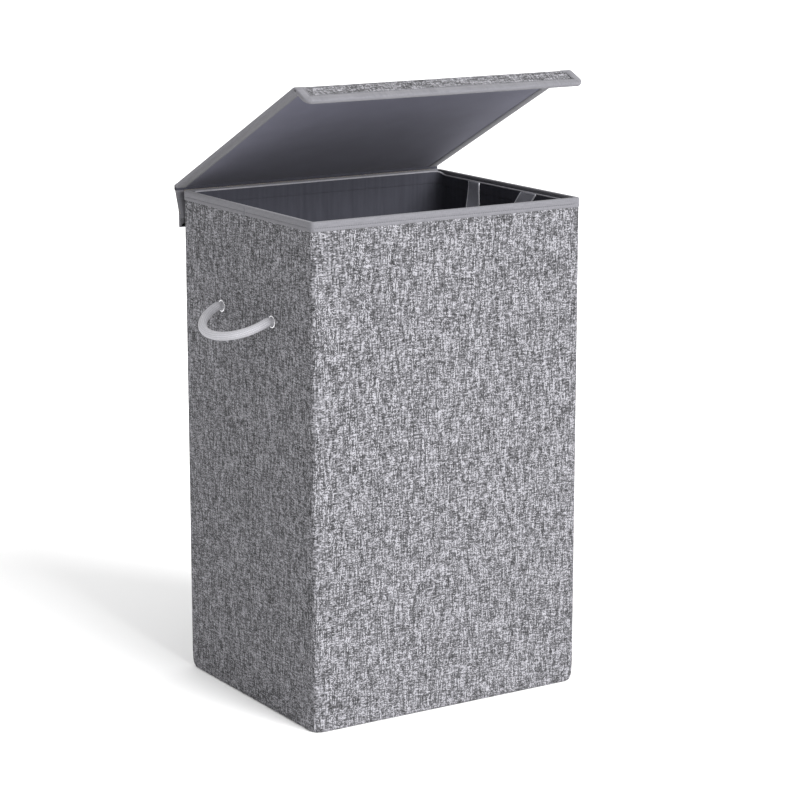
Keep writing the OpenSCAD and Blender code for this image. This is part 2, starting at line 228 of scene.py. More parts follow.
def makeHeather(v):
    s = Shader("heatherWeave", roughness=0.95, sheen=0.05)
    x, y, _ = s.axes(s.uv())
    x = s.math("DIVIDE", x, v["warpPitch"])
    y = s.math("DIVIDE", y, v["weftPitch"])
    column = s.math("FLOOR", x)
    row = s.math("FLOOR", y)
    over = s.math("FLOORED_MODULO", s.plus(column, row), 2.0)
    # each yarn changes tone along its run, and shows most where it lies on top
    warp = s.noise(s.join(s.times(column, v["apart"]), s.times(y, v["warpRun"])), 1.0, 0.0)
    weft = s.noise(s.join(s.times(x, v["weftRun"]), s.times(row, v["apart"]), 40.0), 1.0, 0.0)
    warpShare = s.times(s.mix(over, v["under"], 1.0), v["warpVary"])
    weftShare = s.times(s.mix(over, 1.0, v["under"]), v["weftVary"])
    tone = s.math("MULTIPLY_ADD", s.minus(warp, 0.5), warpShare, 0.5)
    tone = s.math("MULTIPLY_ADD", s.minus(weft, 0.5), weftShare, tone)
    speck = s.speck(s.join(column, row))
    tone = s.math("MULTIPLY_ADD", s.minus(speck, 0.5), v["cellVary"], tone)
    # round yarns, dark in the gaps between them
    crossX = s.sine(s.times(s.math("FRACT", x), math.pi))
    crossY = s.sine(s.times(s.math("FRACT", y), math.pi))
    s.color(s.ramp(tone, *((place, grey(value, v["blue"])) for place, value in v["tones"])))
    s.bump(s.mix(over, crossY, crossX), 0.0002, 0.5)
    return s.material


pitches = {
    "tapeRib": 0.0009,
    "dimple": 0.0022,        # of the lining
    "webbingRib": 0.0011,
    "webbingEdge": 0.0108,   # from its middle to where the light edge starts
    "ropeLoop": 0.0021,
    "ropeWales": 14.0,       # rows of loops round the rope
}


def makeTape(name, base, tint):
    s = Shader(name, roughness=0.9, sheen=0.15)
    x, y, _ = s.axes(s.uv())
    rib = s.sine(s.times(x, 2 * math.pi / pitches["tapeRib"]))
    fine = s.noise(s.join(s.times(x, 1800.0), s.times(y, 260.0)), 1.0, 2.0)
    soft = s.noise(s.join(s.times(x, 60.0), s.times(y, 900.0)), 1.0, 3.0)
    tone = s.plus(s.times(fine, 0.6), s.times(soft, 0.4))
    dark, light = grey(base * 0.72, tint), grey(base * 1.22, tint)
    s.color(s.ramp(tone, (0.3, dark), (0.5, grey(base, tint)), (0.72, light)))
    s.bump(s.plus(s.times(rib, 0.3), fine), 0.00025, 0.5)
    return s.material


def makeNonwoven(name, base, tint):
    s = Shader(name, roughness=0.85, sheen=0.05)
    place = s.uv()
    x, y, _ = s.axes(place)
    turns = 2 * math.pi / pitches["dimple"]
    dots = s.times(s.sine(s.times(x, turns)), s.sine(s.times(y, turns)))
    fibre = s.noise(place, 900.0, 4.0)
    cloud = s.noise(place, 22.0, 3.0)
    tone = s.plus(s.times(fibre, 0.75), s.times(cloud, 0.25))
    low, high = base * 0.78, base * 1.22
    s.color(s.ramp(tone, (0.3, (low, low, low * tint)), (0.7, (high, high, high * tint))))
    s.bump(s.plus(s.times(dots, 0.5), s.times(fibre, 0.6)), 0.0002, 0.45)
    return s.material


def makeLiner():
    s = Shader("linerCloth", roughness=0.8, sheen=0.05)
    x, y, _ = s.axes(s.uv())
    wave = s.plus(s.sine(s.times(x, 9000.0)), s.sine(s.times(y, 9000.0)))
    streak = s.noise(s.join(s.times(x, 160.0), s.times(y, 14.0)), 1.0, 3.0)
    s.color(s.ramp(streak, (0.3, (0.035, 0.0355, 0.047)), (0.7, (0.046, 0.047, 0.061))))
    s.bump(s.plus(s.times(wave, 0.12), streak), 0.0012, 0.5)
    return s.material


def makeWebbing():
    s = Shader("webbing", roughness=0.75, sheen=0.1)
    x, y, _ = s.axes(s.uv())
    rib = s.sine(s.times(x, 2 * math.pi / pitches["webbingRib"]))
    edge = s.math("GREATER_THAN", s.math("ABSOLUTE", y), pitches["webbingEdge"])
    speck = s.noise(s.uv(), 1500.0, 2.0)
    tone = s.plus(s.times(edge, 0.55), s.times(speck, 0.35))
    middle, light = (0.40, 0.40, 0.45), (0.80, 0.80, 0.84)
    s.color(s.ramp(tone, (0.1, (0.24, 0.24, 0.275)), (0.3, middle), (0.85, light)))
    s.bump(rib, 0.0002, 0.5)
    return s.material


def makeRope():
    s = Shader("knitRope", roughness=0.95, sheen=0.2)
    x, y, _ = s.axes(s.uv())
    along = s.math("DIVIDE", x, pitches["ropeLoop"])
    # knit wales: small leaning loops in rows round the rope
    around = s.math("FRACT", s.times(y, pitches["ropeWales"]))
    lean = s.math("ABSOLUTE", s.minus(around, 0.5))
    loop = s.sine(s.times(s.plus(along, s.times(lean, 1.6)), 2 * math.pi))
    valley = s.sine(s.times(around, math.pi))
    fuzz = s.noise(s.place(), 1400.0, 3.0)
    # the loop and valley terms darken the colour between loops and in the grooves between wales: painted
    # shade; the fuzz noise is the yarn's own tone
    tone = s.plus(s.plus(s.times(loop, 0.16), s.times(valley, 0.22)), s.times(fuzz, 0.6))
    s.color(s.ramp(tone, (0.15, grey(0.24)), (0.5, grey(0.46)), (0.8, grey(0.64))))
    s.bump(s.plus(s.times(loop, 0.4), s.plus(valley, s.times(fuzz, 0.5))), 0.0006, 0.8)
    return s.material


def makeBoard():
    s = Shader("greyBoard", roughness=0.9)
    place = s.place()
    fibre = s.noise(place, 700.0, 4.0)
    cloud = s.noise(place, 12.0, 2.0)
    tone = s.plus(s.times(fibre, 0.6), s.times(cloud, 0.4))
    s.color(s.ramp(tone, (0.3, (0.30, 0.25, 0.19)), (0.7, (0.46, 0.39, 0.30))))
    s.bump(fibre, 0.0002, 0.4)
    return s.material


# a plain surface whose tone and bump follow one fine noise
def makeGrain(name, scale, detail, dark, light, depth, strength, **surface):
    s = Shader(name, **surface)
    grain = s.noise(s.place(), scale, detail)
    s.color(s.ramp(grain, (0.3, dark), (0.7, light)))
    s.bump(grain, depth, strength)
    return s.material


looks = {
    "weave": makeHeather(heather),
    "tape": makeTape("bindingTape", 0.128, 1.09),
    "lining": makeNonwoven("slateLining", 0.105, 1.34),
    # a light tape colour used only for the bead on the liner's top edge: a painted highlight
    "edge": makeTape("hemHighlightTape", 0.27, 1.08),
    "floor": makeNonwoven("floorCloth", 0.06, 1.1),
    "liner": makeLiner(),
    "webbing": makeWebbing(),
    "rope": makeRope(),
    "board": makeBoard(),
    "nickel": makeGrain("nickel", 900.0, 3.0, (0.56, 0.56, 0.58), (0.78, 0.78, 0.80), 0.00004, 0.3,
                        roughness=0.24, metallic=1.0),
    "hook": makeGrain("hookLoop", 2200.0, 2.0, (0.035, 0.035, 0.04), (0.11, 0.11, 0.12), 0.0004, 0.8,
                      roughness=0.9, sheen=0.1),
    # the stitches are real; their very dark thread also paints the shade line along the tapes' inner edges
    "threadWithShadeLine": makeGrain("threadWithShadeLine", 2600.0, 1.0, grey(0.030, 1.1), grey(0.075, 1.1), 0.0001, 0.5,
                        roughness=0.7, sheen=0.1),
}
print("materials made:", len(looks))


# makes the object, reads its UV from the along and across layers, and lets it ride
def finishMesh(name, bm, look, body=None):
    along = bm.verts.layers.float.get("along")
    across = bm.verts.layers.float.get("across")
    if along and across:
        uv = bm.loops.layers.uv.new("UVMap")
        for face in bm.faces:
            for loop in face.loops:
                loop[uv].uv = (loop.vert[along], loop.vert[across])
    for face in bm.faces:
        face.smooth = True
    for edge in bm.edges:
        if edge.is_boundary:
            edge.smooth = False
    mesh = bpy.data.meshes.new(name)
    bm.to_mesh(mesh)
    bm.free()
    mesh.materials.append(looks[look])
    piece = bpy.data.objects.new(name, mesh)
    scene.collection.objects.link(piece)
    if body:
        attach(piece, body)
    return piece


# turns all faces over if they look towards the point
def faceAway(bm, point):
    bm.normal_update()
    away = sum(f.normal.dot(f.calc_center_median() - Vector(point)) * f.calc_area() for f in bm.faces)
    if away < 0:
        bmesh.ops.reverse_faces(bm, faces=bm.faces[:])


# UV in metres from two directions, on a mesh with no along layer
def flatUv(bm, across, up):
    uv = bm.loops.layers.uv.new("UVMap")
    for face in bm.faces:
        for loop in face.loops:
            loop[uv].uv = (loop.vert.co.dot(Vector(across)), loop.vert.co.dot(Vector(up)))


# a block between two corners with its edges rounded
def makeBlock(name, low, high, look, body, round):
    bm = bmesh.new()
    low, high = Vector(low), Vector(high)
    size = Matrix.Diagonal((*(high - low), 1))
    bmesh.ops.create_cube(bm, size=1, matrix=Matrix.Translation((low + high) / 2) @ size)
    bmesh.ops.bevel(bm, geom=bm.edges[:], affect="EDGES", offset=round, segments=3, profile=0.5, material=-1)
    flatUv(bm, (1, 0, 0), (0, 1, 0.5))
    return finishMesh(name, bm, look, body)


def pathWay(points, i):
    return (points[min(i + 1, len(points) - 1)] - points[max(i - 1, 0)]).normalized()


# a closed-ended tube along points; its UV is metres along and turns round
def makeTube(name, points, radius, look, body, sides=16):
    bm = bmesh.new()
    uv = bm.loops.layers.uv.new("UVMap")
    side = Vector((0, 0, 1))
    rings = []
    run = [0.0]
    for i, point in enumerate(points):
        if i:
            run.append(run[-1] + (point - points[i - 1]).length)
        way = pathWay(points, i)
        side = (side - way * side.dot(way)).normalized()
        other = way.cross(side)
        ring = []
        for k in range(sides):
            angle = 2 * math.pi * k / sides
            ring.append(bm.verts.new(point + (side * math.cos(angle) + other * math.sin(angle)) * radius))
        rings.append(ring)
    for i in range(len(rings) - 1):
        for k in range(sides):
            n = (k + 1) % sides
            face = bm.faces.new((rings[i][k], rings[i][n], rings[i + 1][n], rings[i + 1][k]))
            corners = ((run[i], k), (run[i], k + 1), (run[i + 1], k + 1), (run[i + 1], k))
            for loop, (along, turn) in zip(face.loops, corners):
                loop[uv].uv = (along, turn / sides)
    for ring in (rings[0], rings[-1]):
        bm.faces.new(ring)
    bmesh.ops.recalc_face_normals(bm, faces=bm.faces[:])
    return finishMesh(name, bm, look, body)


def thicken(piece, thickness, offset=-1.0):
    solid = piece.modifiers.new("thickness", "SOLIDIFY")
    solid.thickness = thickness
    solid.offset = offset


# carries an upright profile of (out, up) points along a flat path of straights and turns.
# heading is in degrees; out is to the right of it. A move is ("go", length, steps) or
# ("turn", radius, degrees, steps), the radius measured to out = 0 and positive turns to the left
def sweep(profile, start, heading, moves, firstAlong=0.0):
    bm = bmesh.new()
    along = bm.verts.layers.float.new("along")
    across = bm.verts.layers.float.new("across")
    angle = math.radians(heading)
    place = Vector((start[0], start[1], 0))
    run = firstAlong
    right = Vector((math.sin(angle), -math.cos(angle), 0))
    ring = []
    distance = 0.0
    for i, (out, up) in enumerate(profile):
        if i:
            distance += math.hypot(out - profile[i - 1][0], up - profile[i - 1][1])
        vert = bm.verts.new(place + right * out + Vector((0, 0, up)))
        vert[along] = run
        vert[across] = profile[0][1] + distance
        ring.append(vert)
    edges = [bm.edges.new(pair) for pair in zip(ring, ring[1:])]
    for move in moves:
        steps = move[-1]
        for _ in range(steps):
            made = bmesh.ops.extrude_edge_only(bm, edges=edges)["geom"]
            verts = [g for g in made if isinstance(g, bmesh.types.BMVert)]
            if move[0] == "go":
                step = move[1] / steps
                forward = Vector((math.cos(angle), math.sin(angle), 0))
                bmesh.ops.translate(bm, verts=verts, vec=forward * step)
                place += forward * step
                run += step
            else:
                turn = math.radians(move[2]) / steps
                left = Vector((-math.sin(angle), math.cos(angle), 0))
                centre = place + left * math.copysign(move[1], turn)
                turning = Matrix.Rotation(turn, 3, "Z")
                bmesh.ops.rotate(bm, verts=verts, cent=centre, matrix=turning)
                place = centre + turning @ (place - centre)
                angle += turn
                run += abs(turn) * move[1]
            for vert in verts:
                vert[along] = run
            strips = [g for g in made if isinstance(g, bmesh.types.BMEdge)]
            edges = [e for e in strips if all(v in verts for v in e.verts)]
    bmesh.ops.recalc_face_normals(bm, faces=bm.faces[:])
    return bm


rope = {
    "diameter": 0.0112,
    "steps": 48,
}


# out of one eyelet, round the arch and back into the other
def ropeRoute(side):
    sign = -1 if side == "left" else 1
    pivot = Vector(joints[side + "_handle_swing"]["pos_m"])
    low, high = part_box(side + "_rear_eyelet")
    half = (low.y + high.y) / 2
    wall = Vector((sign * (halfWide + 0.0015), 0, pivot.z))
    droop = math.radians(joints[side + "_handle_swing"]["range_deg"][1] - 90)
    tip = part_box("right_rope")[1].x - rope["diameter"] / 2
    reach = (tip - abs(pivot.x)) / math.cos(droop)
    out = Vector((sign * math.cos(droop), 0, -math.sin(droop)))
    route = [wall + Vector((0, half, 0))]
    for i in range(rope["steps"] + 1):
        a = math.pi * i / rope["steps"]
        route.append(pivot + out * reach * math.sin(a) + Vector((0, half * math.cos(a), 0)))
    route.append(wall - Vector((0, half, 0)))
    return route


def makeRopes():
    for side in ("left", "right"):
        route = ropeRoute(side)
        radius = rope["diameter"] / 2
        piece = makeTube(side + "Rope", route, radius, "rope", side + "_handle", sides=20)
        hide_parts(side + "_rope")
        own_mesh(piece)


makeRopes()
print("ropes made")


walls = {
    "cloth": 0.0009,
    "strip": 0.026,        # the corner cloth reaches this far along each wall
    "footRadius": 0.019,   # plan radius of the corners at the floor
    "footHeight": 0.018,
    "wave": 0.00035,
    "hem": 0.012,
    "crease": 0.0009,      # depth of the fold line down a side wall
    "creaseWide": 0.0016,
    "foldStrip": 0.006,    # half the width that is cut finely to fold
    "foldBlend": 0.004,
}
inside = 0.3               # height of a point well inside the walls
flatX = 2 * (halfWide - walls["strip"])
flatY = 2 * (halfDeep - walls["strip"])
cornerGo = walls["strip"] - cornerRadius
corners = (
    ("frontRight", (flatX / 2, -halfDeep), 0, ["front_wall"]),    # the corner that opens
    ("backRight", (halfWide, flatY / 2), 90, ["back_wall", "right_rear"]),
    ("backLeft", (-flatX / 2, halfDeep), 180, ["back_wall", "left_rear"]),
    ("frontLeft", (-halfWide, -flatY / 2), 270, ["left_front", "front_wall"]),
)


def footRadius(z):
    t = max(0.0, 1 - z / walls["footHeight"])
    return cornerRadius + (walls["footRadius"] - cornerRadius) * (1 - math.sqrt(max(0.0, 1 - t * t)))


# pulls the bottom corners in to their larger radius
def roundFoot(bm):
    for vert in bm.verts:
        if vert.co.z >= walls["footHeight"]:
            continue
        radius = footRadius(vert.co.z)
        cx = halfWide - radius
        cy = halfDeep - radius
        dx = abs(vert.co.x) - cx
        dy = abs(vert.co.y) - cy
        if dx > 0 and dy > 0:
            inset = min(halfWide - abs(vert.co.x), halfDeep - abs(vert.co.y))
            reach = math.hypot(dx, dy)
            limit = max(radius - max(inset, 0), 0.001)
            if reach > limit:
                vert.co.x = math.copysign(cx + dx * limit / reach, vert.co.x)
                vert.co.y = math.copysign(cy + dy * limit / reach, vert.co.y)


# outside of a wall from its turned hem at the floor up to under the rim tape
def wallProfile():
    top = clothHigh.z - 0.0002
    points = [(-walls["hem"], 0.0012), (-0.004, 0.0006), (-0.0018, 0.0004)]
    points += [(-0.0006, 0.0010), (-0.0001, 0.0026)]
    points += [(0, z) for z in (0.005, 0.008, 0.011, 0.014, 0.018, 0.024, 0.034)]
    start = points[-1][1]
    count = 26
    return points + [(0, start + (top - start) * (i + 1) / count) for i in range(count)]


# slight unevenness of cloth over board, fading out at the edges of the wall
def ripple(bm, amount, seed):
    for vert in bm.verts:
        if not 0.02 < vert.co.z < rimTop - 0.02:
            continue
        push = amount * (noise.noise(vert.co * 9 + Vector((seed, 0, 0))) - 0.35)
        for axis, other, size, width in ((0, 1, halfWide, halfDeep), (1, 0, halfDeep, halfWide)):
            if abs(abs(vert.co[axis]) - size) < 0.0005:
                fade = min(1.0, (width - cornerRadius - abs(vert.co[other])) / 0.04)
                vert.co[axis] += math.copysign(push * max(fade, 0), vert.co[axis])


# the fold line down the middle of a side wall: a narrow valley in the cloth
def pressCrease(bm):
    for vert in bm.verts:
        if abs(abs(vert.co.x) - halfWide) < 0.002:
            depth = walls["crease"] * math.exp(-((vert.co.y / walls["creaseWide"]) ** 2))
            vert.co.x -= math.copysign(depth, vert.co.x)


# the front, back, right and left sheets of one layer; the side ones crease in the middle.
# size is the outline's half width and depth, half is half of each sheet's length
def makeSheets(suffix, look, node, profiles, size, half, steps, level, firsts=(0, 0, 0, 0), turned=0):
    far = half[1] - walls["foldStrip"]
    flat = [("go", 2 * half[0], steps[0])]
    folding = [("go", far, steps[1]), ("go", 2 * walls["foldStrip"], steps[2]), ("go", far, steps[1])]
    places = (
        ("front", (-half[0], -size[1]), 0, 3),
        ("back", (half[0], size[1]), 180, 5),
        ("right", (size[0], -half[1]), 90, 7 + size[0]),
        ("left", (-size[0], half[1]), 270, 7 - size[0]),
    )
    made = []
    for (name, start, heading, seed), first in zip(places, firsts):
        onSide = heading % 180 > 0
        moves = folding if onSide else flat
        bm = sweep(profiles[name == "back"], start, heading, moves, firstAlong=first)
        if look == "weave":
            ripple(bm, walls["wave"], seed)
        pressCrease(bm)
        outward = Vector((start[0], 0, 0)) if onSide else Vector((0, start[1], 0))
        faceAway(bm, outward * turned + Vector((0, 0, level)))
        piece = finishMesh(name + suffix, bm, look, None if onSide else name + "_wall")
        if onSide:
            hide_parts(name + "_rear_" + node, name + "_front_" + node)
            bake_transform(piece, name + "_rear", name + "_front",
                     start=(start[0], walls["foldBlend"], level), end=(start[0], -walls["foldBlend"], level))
        else:
            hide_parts(name + "_" + node)
        made.append(piece)
    return made


def makeCorners(suffix, look, profile, level, firsts=(0, 0, 0, 0)):
    moves = [("go", cornerGo, 3), ("turn", cornerRadius, 90, 8), ("go", cornerGo, 3)]
    made = []
    for (name, start, heading, bodies), first in zip(corners, firsts):
        bm = sweep(profile, start, heading, moves, firstAlong=first)
        roundFoot(bm)
        faceAway(bm, (0, 0, level))
        piece = finishMesh(name + suffix, bm, look, bodies[0] if len(bodies) == 1 else None)
        if len(bodies) == 2:
            cx = math.copysign(halfWide, start[0])
            cy = math.copysign(halfDeep, start[1])
            ends = [Vector((cx - math.copysign(cornerRadius, cx), cy, level)),
                    Vector((cx, cy - math.copysign(cornerRadius, cy), level))]
            if bodies[0] != "back_wall":
                ends.reverse()
            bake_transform(piece, *bodies, start=ends[0], end=ends[1])
        made.append(piece)
    return made


def makeWallCloth():
    profile = wallProfile()
    turn = math.pi / 2 * cornerRadius
    quarter = flatX + 2 * cornerGo + turn
    side = flatY + 2 * cornerGo + turn
    # the UV runs on from piece to piece, so the weave does too
    pieces = makeSheets("Cloth", "weave", "cloth", (profile, profile), (halfWide, halfDeep),
                        (flatX / 2, flatY / 2), (14, 7, 12), inside, (0, quarter + side, quarter, -side))
    pieces += makeCorners("Corner", "weave", profile, inside,
                          (flatX, quarter + flatY, flatX - side - quarter, flatY - side))
    for piece in pieces:
        thicken(piece, walls["cloth"])


makeWallCloth()
print("wall cloth made")


rim = {
    "inside": 0.005,
    "insideBack": 0.0028,
    "stitchDown": 0.0081,
    "stitchLong": 0.0024,
    "stitchEvery": 0.0034,
    "stitchRadius": 0.00028,
    "tapeShare": 0.8,      # of the tape's thickness in the CAD
}


# outside foot of the tape, up over the rim and turnIn down inside, as heights from the rim's top
def rimProfile(turnIn):
    stitch = rim["stitchDown"]
    low = -wallThick - tapeThick
    t = tapeThick
    points = (
        (0.0001, -tapeDrop), (t + 0.00015, -tapeDrop + 0.0005), (t + 0.0001, -tapeDrop + 0.0020),
        (t, -stitch - 0.0006), (t - 0.00035, -stitch), (t, -stitch + 0.0006), (t + 0.0001, -0.0045),
        (t, -0.0016), (t - 0.0005, -0.0006), (t - 0.0015, -0.0001), (-wallThick / 2, 0),
        (low + 0.0015, -0.0001), (low + 0.0005, -0.0006), (low, -0.0016), (low, -turnIn + 0.0011),
        (low + 0.0002, -turnIn + 0.0007), (low, -turnIn + 0.0003), (low + 0.0005, -turnIn),
    )
    return [(out, rimTop + up) for out, up in points]


def makeRim():
    profile = rimProfile(rim["inside"])
    pieces = makeSheets("Rim", "tape", "binding", (profile, rimProfile(rim["insideBack"])),
                        (halfWide, halfDeep), (flatX / 2, flatY / 2), (10, 5, 10), rimTop)
    pieces += makeCorners("Rim", "tape", profile, rimTop)
    for piece in pieces:
        thicken(piece, tapeThick * rim["tapeShare"])

# a row of short stitches from start, along way; the thread's very dark tone also paints the shade line along
# the tape's edge
def makeStitches(name, body, start, way, count, matrix=None):
    bm = bmesh.new()
    way = Vector(way).normalized()
    turn = way.to_track_quat("X", "Z").to_matrix().to_4x4()
    size = Matrix.Diagonal((rim["stitchLong"] / 2, rim["stitchRadius"], rim["stitchRadius"], 1))
    place = Matrix.Translation(start) @ turn @ size
    bmesh.ops.create_uvsphere(bm, u_segments=6, v_segments=4, radius=1, matrix=place)
    first = bm.verts[:] + bm.edges[:] + bm.faces[:]
    for i in range(1, count):
        copied = bmesh.ops.duplicate(bm, geom=first)["geom"]
        verts = [g for g in copied if isinstance(g, bmesh.types.BMVert)]
        bmesh.ops.translate(bm, verts=verts, vec=way * rim["stitchEvery"] * i)
    if matrix is not None:
        bmesh.ops.transform(bm, matrix=matrix, verts=bm.verts[:])
    return finishMesh(name, bm, "threadWithShadeLine", body)


def makeRimStitches():
    z = rimTop - rim["stitchDown"]
    out = tapeThick - 0.0001
    every = rim["stitchEvery"]
    reachX = halfWide - cornerRadius
    for wall, y in (("front", -halfDeep - out), ("back", halfDeep + out)):
        start = Vector((-reachX, y, z))
        makeStitches(wall + "Stitches", wall + "_wall", start, (1, 0, 0), int(2 * reachX / every))
    reachY = halfDeep - cornerRadius
    countY = int((reachY - 0.004) / every)
    for side, x in (("left", -halfWide - out), ("right", halfWide + out)):
        makeStitches(side + "RearStitches", side + "_rear", Vector((x, 0.004, z)), (0, 1, 0), countY)
        makeStitches(side + "FrontStitches", side + "_front", Vector((x, -0.004, z)), (0, -1, 0), countY)


makeRim()
makeRimStitches()
print("rim made")


lidPlace = Matrix.Translation(hingePoint) @ Matrix.Rotation(-lidOpen, 4, "X")
lidUnder = (lidPlace.inverted() @ lipPoint).z       # underside of the lid below the hinge line
lidLong = -(lidPlace.inverted() @ lipPoint).y
lipLong = 0.0315                                   # from the fold to the free edge

# path coordinates (forward, height, across) to the lid's own x, y, z
lipPlace = Matrix.Translation(lipPoint) @ lidPlace.to_3x3().to_4x4() @ Matrix.Rotation(lipBend, 4, "X")
pathToLid = Matrix(((0, 0, -1, 0), (-1, 0, 0, 0), (0, 1, 0, 0), (0, 0, 0, 1)))
lid = {
    "tapeWide": 0.012,
    "sideWide": 0.0152,
    "tapeOnLip": 0.004,
    "stitchIn": 0.0018,   # from the tape's inner edge, where the dark stitches also paint the shade line along that edge
    "start": 0.0008,
    "round": 0.010,       # radius of the lip's free corners
}


# sweeps (height, across) points forward over the lid: out is up
def lidSweep(profile, moves, height, firstAlong=0.0):
    turned = [(-h, a) for h, a in profile]
    bm = sweep(turned, (lid["start"], height), 0, moves, firstAlong=firstAlong)
    bmesh.ops.transform(bm, matrix=lidPlace @ pathToLid, verts=bm.verts[:])
    return bm


# along the lid, over the fold and down the lip, for a layer at this height above the underside
def foldMoves(height):
    degrees = -math.degrees(lipBend)
    return [("go", lidLong - lid["start"] - 0.0006, 16), ("turn", height + 0.0004, degrees, 6),
            ("go", lipLong - 0.0006, 9)]


# rounds the free corners of a sheet that ends on the lip
def roundLip(bm):
    back = lipPlace.inverted()
    cx = lidHalf - lid["round"]
    cy = lipLong - lid["round"]
    for vert in bm.verts:
        p = back @ vert.co
        dx = abs(p.x) - cx
        dy = -p.y - cy
        if dx > 0 and dy > 0:
            share = max(dx, dy) / math.hypot(dx, dy)
            p.x = math.copysign(cx + dx * share, p.x)
            p.y = -(cy + dy * share)
            vert.co = lipPlace @ p

# a layer of the lid and lip: one sheet that bends with the lip
def makeLidSheet(name, look, nodes, height, thickness, faces, firstAlong=0.0):
    half = lidHalf - tapeThick
    columns = 22
    ends = [0, 0.0012, 0.0028, 0.0050, 0.0074, 0.0098, 0.0130]    # finer at the rounded corners
    inner = half - ends[-1]
    across = [-half + e for e in ends]
    across += [-inner + 2 * inner * i / columns for i in range(1, columns)]
    across += [half - e for e in reversed(ends)]
    bm = lidSweep([(0, a) for a in across], foldMoves(height), lidUnder + height, firstAlong)
    roundLip(bm)
    faceAway(bm, faces)
    finishLid(name, bm, look, nodes, thickness)


def finishLid(name, bm, look, nodes, thickness):
    piece = finishMesh(name, bm, look)
    if nodes:
        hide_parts(*nodes)
    lipWay = (lidPlace @ Matrix.Rotation(lipBend, 4, "X")).to_3x3()
    foldStart = lipPoint + lidPlace.to_3x3() @ Vector((0, 0.0006, lidStack))
    foldEnd = lipPoint + lipWay @ Vector((0, -0.0006, lidStack))
    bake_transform(piece, "lid", "lip", start=foldStart, end=foldEnd)
    thicken(piece, thickness)


def makeLid():
    centre = lidPlace @ Vector((0, -lidLong / 2, lidUnder / 2))
    above = lidPlace @ Vector((0, -lidLong / 2, 0.2))
    makeLidSheet("lidCover", "weave", ("lid_cloth", "lip_cloth"), lidStack - tapeThick,
                 0.0009, centre, firstAlong=0.2)
    makeLidSheet("lidLining", "lining", ("lid_lining", "lip_lining"), tapeThick, 0.0004, above)
    # tape round the two side edges
    moves = [("go", lidLong - lid["start"] - 0.0004, 16), ("turn", 0.0004, -math.degrees(lipBend), 6),
             ("go", lid["tapeOnLip"], 3)]
    for side, name in ((-1, "left"), (1, "right")):
        shape = [(h, -side * (lidHalf + out)) for out, h in tapeOutline(lidStack, lid["sideWide"])]
        bm = lidSweep(shape, moves, lidUnder)
        faceAway(bm, centre)
        finishLid(name + "LidTape", bm, "tape", ["lid_binding"] if side < 0 else None,
                  tapeThick * rim["tapeShare"])

# section of tape folded over an edge: (out, height) from the underside round to the top
def tapeOutline(thick, wide):
    return [
        (-wide, 0.0003), (-wide + 0.0005, 0), (-0.0018, 0), (-0.0005, 0.0005), (0, 0.0018),
        (0, thick - 0.0018), (-0.0005, thick - 0.0005), (-0.0018, thick), (-0.0060, thick),
        (-wide + 0.0024, thick), (-wide + 0.0018, thick - 0.0003), (-wide + 0.0012, thick),
        (-wide + 0.0005, thick), (-wide, thick - 0.0003),
    ]


# tape down one end of a panel, along its foot and up the other end. The sweep puts each ring at one
# station round the edge, and the section is then laid inwards from it; lay gives a point's place
def edgeTape(shape, half, foot, top, radius, steps, square, lay):
    down = ("go", top - foot - radius, steps[0])
    turn = ("turn", radius, 90, steps[1])
    moves = [down, turn, ("go", 2 * (half - radius), 20), turn, down]
    bm = sweep([(0, h) for _, h in shape], (-half, top), 270, moves)
    bm.verts.ensure_lookup_table()
    count = len(shape)
    tiny = 1e-6
    for r in range(len(bm.verts) // count):
        x, y, _ = bm.verts[r * count].co
        dx = abs(x) - (half - radius)
        dy = foot + radius - y
        if dx > tiny and dy > tiny:
            way = Vector((math.copysign(dx, x), -dy)).normalized()
        elif dy > tiny:
            way = Vector((0, -1))
        else:
            way = Vector((math.copysign(1, x), 0))
        for k, (out, h) in enumerate(shape):
            spot = Vector((x, y)) + way * out
            if dx > tiny and dy > tiny:
                # the inner edge of the tape turns a square corner
                share = (-out - square[0]) / (square[1] - square[0])
                corner = Vector((math.copysign(half + out, x), foot - out))
                spot = spot.lerp(corner, min(1.0, max(0.0, share)))
            bm.verts[r * count + k].co = lay(spot, h)
    return bm


def makeLipTape():
    wide = lid["tapeWide"]
    radius = lid["round"]
    lift = 0.00012
    shape = [(out, h * (1 + 2 * lift / lidStack) - lift) for out, h in tapeOutline(lidStack, wide)]
    bm = edgeTape(shape, lidHalf, -lipLong, -0.0010, radius, (5, 8), (radius * 0.75, wide),
                  lambda spot, h: (spot.x, spot.y, h))
    bmesh.ops.transform(bm, matrix=lipPlace, verts=bm.verts[:])
    faceAway(bm, lipPlace @ Vector((0, -lipLong / 2, lidStack / 2)))
    tape = finishMesh("lipTape", bm, "tape", "lip")
    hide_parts("lip_binding")
    thicken(tape, tapeThick * rim["tapeShare"])


def makeLidStitches():
    stitchIn = lid["tapeWide"] - lid["stitchIn"]
    sideIn = lid["sideWide"] - lid["stitchIn"]
    count = int((lidLong - 0.01) / rim["stitchEvery"])
    for side, name in ((-1, "left"), (1, "right")):
        x = side * (lidHalf - sideIn)
        for part, z in (("Lid", lidUnder + lidStack), ("LidUnder", lidUnder)):
            start = Vector((x, -0.006, z))
            makeStitches(name + part + "Stitches", "lid", start, (0, -1, 0), count, matrix=lidPlace)
        start = Vector((side * (lidHalf - stitchIn), -0.004, lidStack))
        makeStitches(name + "LipStitches", "lip", start, (0, -1, 0), 5, matrix=lipPlace)
    count = int(2 * (lidHalf - stitchIn) / rim["stitchEvery"])
    for name, z in (("lipStitches", lidStack), ("lipUnderStitches", 0)):
        start = Vector((-lidHalf + stitchIn, -lipLong + stitchIn, z))
        makeStitches(name, "lip", start, (1, 0, 0), count, matrix=lipPlace)


makeLid()
makeLipTape()
makeLidStitches()
print("lid made")


